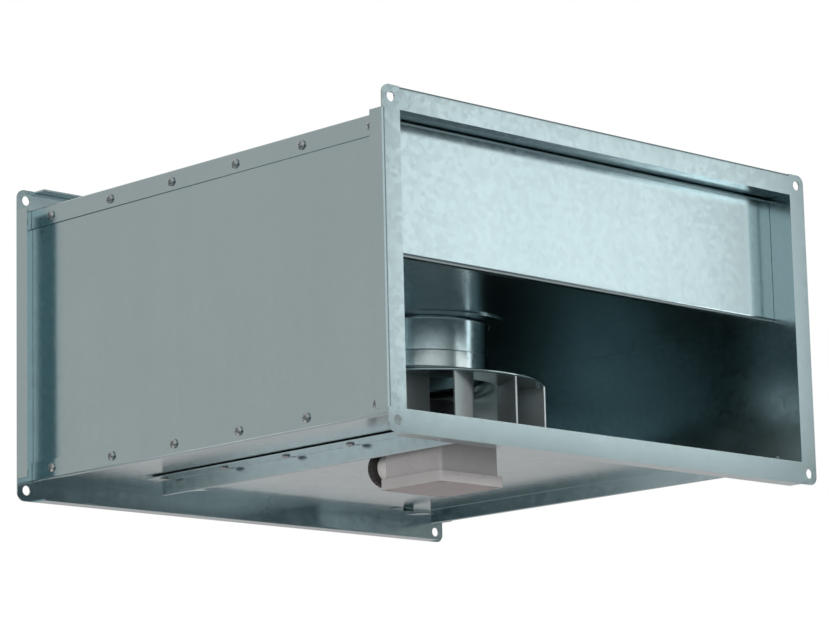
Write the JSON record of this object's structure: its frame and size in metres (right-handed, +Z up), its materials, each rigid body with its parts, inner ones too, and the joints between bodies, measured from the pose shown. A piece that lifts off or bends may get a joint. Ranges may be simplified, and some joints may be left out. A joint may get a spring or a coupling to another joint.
{
  "type": "inline duct fan",
  "caption": "Rectangular in-line duct fan: galvanised casing with duct flanges, stepped partition, inlet cone, backward curved impeller, and a tilting service hatch with motor and terminal box.",
  "frame": {"origin": "middle of the duct cross-section, half way between the two flange faces", "axes": "+X across the duct, to the right when looking into the outlet; +Y from the outlet towards the inlet, against the air; +Z up, away from the service hatch"},
  "size_m": [0.54, 0.49, 0.315],
  "materials": {
    "galvanised_sheet": "glossy hot-dip galvanised sheet with a faint blue-green cast",
    "bright_zinc": "bright zinc-plated impeller sheet",
    "screw_steel": "zinc-plated screws",
    "bearing_steel": "ground bearing steel",
    "iron_core": "laminated iron core",
    "cast_aluminium": "as-cast aluminium",
    "black_rotor": "satin black painted rotor",
    "copper_winding": "enamelled copper winding",
    "black_rubber": "matt black rubber",
    "cable_sheath": "flexible cable sheath",
    "black_plastic": "moulded black polyamide",
    "box_grey": "fine-textured warm grey moulded box",
    "gland_grey": "light grey moulded gland",
    "terminal_plastic": "off-white terminal block"
  },
  "bodies": {
    "casing": {"outlet_flange": "galvanised_sheet", "inlet_flange": "galvanised_sheet", "top_panel": "galvanised_sheet", "bottom_panel": "galvanised_sheet", "left_side_panel": "galvanised_sheet", "right_side_panel": "galvanised_sheet", "partition": "galvanised_sheet", "inlet_cone": "galvanised_sheet", "hatch_hook_left": "galvanised_sheet", "hatch_hook_right": "galvanised_sheet", "earth_stud": "screw_steel", "screw_left_top_1": "screw_steel", "screw_left_top_2": "screw_steel", "screw_left_top_3": "screw_steel", "screw_left_top_4": "screw_steel", "screw_left_top_5": "screw_steel", "screw_left_top_6": "screw_steel", "screw_left_bottom_1": "screw_steel", "screw_left_bottom_2": "screw_steel", "screw_left_bottom_3": "screw_steel", "screw_left_bottom_4": "screw_steel", "screw_left_bottom_5": "screw_steel", "screw_left_bottom_6": "screw_steel", "screw_right_top_1": "screw_steel", "screw_right_top_2": "screw_steel", "screw_right_top_3": "screw_steel", "screw_right_top_4": "screw_steel", "screw_right_top_5": "screw_steel", "screw_right_top_6": "screw_steel", "screw_right_bottom_1": "screw_steel", "screw_right_bottom_2": "screw_steel", "screw_right_bottom_3": "screw_steel", "screw_right_bottom_4": "screw_steel", "screw_right_bottom_5": "screw_steel", "screw_right_bottom_6": "screw_steel"},
    "hatch": {"hatch_panel": "galvanised_sheet", "hatch_gasket": "black_rubber", "motor_base": "cast_aluminium", "stator_core": "iron_core", "winding_upper": "copper_winding", "winding_lower": "copper_winding", "bearing_upper": "bearing_steel", "bearing_lower": "bearing_steel", "motor_lead": "cable_sheath", "lead_grommet": "black_rubber", "terminal_box": "box_grey", "box_gasket": "black_rubber", "terminal_box_lid": "box_grey", "terminal_block": "terminal_plastic", "cable_gland": "gland_grey", "gland_nut": "black_plastic", "gland_seal": "black_rubber"},
    "rotor": {"rotor_can": "black_rotor", "rotor_cage": "iron_core", "motor_shaft": "bearing_steel", "impeller_wheel": "bright_zinc", "impeller_shroud": "bright_zinc", "balance_clip": "bright_zinc"}
  },
  "joints": [
    {"name": "hatch_swing", "type": "hinge", "parent": "casing", "child": "hatch", "pos_m": [0, 0.157, -0.129], "axis": [1, 0, 0], "range_deg": [0, 15]},
    {"name": "impeller_spin", "type": "hinge", "parent": "hatch", "child": "rotor", "pos_m": [0, 0, -0.051], "axis": [0, 0, 1], "continuous": true}
  ]
}
